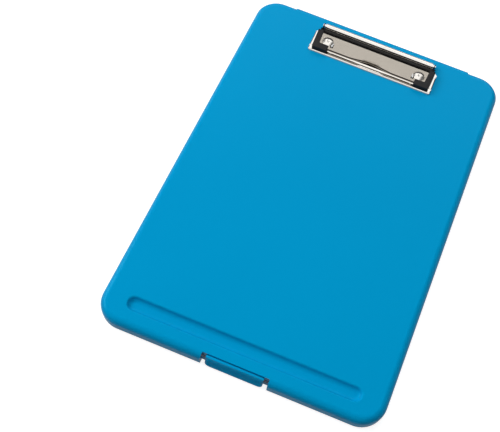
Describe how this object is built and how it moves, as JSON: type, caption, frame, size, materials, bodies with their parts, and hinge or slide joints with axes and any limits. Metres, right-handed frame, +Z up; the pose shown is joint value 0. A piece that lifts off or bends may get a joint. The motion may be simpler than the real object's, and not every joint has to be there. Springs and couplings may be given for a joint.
{
  "type": "storage clipboard box",
  "caption": "Slim storage case with a hinged writing lid, a sprung paper clip, a pen groove and a snap latch.",
  "frame": {"origin": "centre of the tray's flat underside", "axes": "+X across the case, +Y from the latch edge to the hinge and clip edge, +Z up from the underside to the writing face"},
  "size_m": [0.241, 0.3635, 0.0225],
  "materials": {
    "case_plastic": "bright blue moulded polypropylene with a fine satin grain",
    "plated_steel": "satin nickel-plated pressed steel",
    "bright_steel": "bright drawn steel rod, wire and rivets",
    "grip_rubber": "black moulded rubber, slightly glossy"
  },
  "bodies": {
    "tray": {"tray": "case_plastic", "hinge_rod": "bright_steel"},
    "lid": {"lid": "case_plastic", "latch_pin": "bright_steel", "clip_base_plate": "plated_steel", "clip_hinge_rod": "bright_steel", "clip_spring": "bright_steel", "rivet_left": "bright_steel", "rivet_right": "bright_steel", "washer_left": "bright_steel", "washer_right": "bright_steel"},
    "latch": {"latch": "case_plastic"},
    "clip_lever": {"clip_lever": "plated_steel", "grip_cap_left": "grip_rubber", "grip_cap_right": "grip_rubber"}
  },
  "joints": [
    {"name": "lid_hinge", "type": "hinge", "parent": "tray", "child": "lid", "pos_m": [0, 0.1805, 0.0075], "axis": [-1, 0, 0], "range_deg": [0, 150]},
    {"name": "latch_swing", "type": "hinge", "parent": "lid", "child": "latch", "pos_m": [0, -0.1768, 0.0135], "axis": [-1, 0, 0], "range_deg": [0, 80]},
    {"name": "clip_lift", "type": "hinge", "parent": "lid", "child": "clip_lever", "pos_m": [0, 0.1682, 0.0185], "axis": [-1, 0, 0], "range_deg": [0, 95], "stiffness_Nm_per_rad": 0.1, "springref_deg": -45.84, "deforming": ["clip_spring"]}
  ]
}
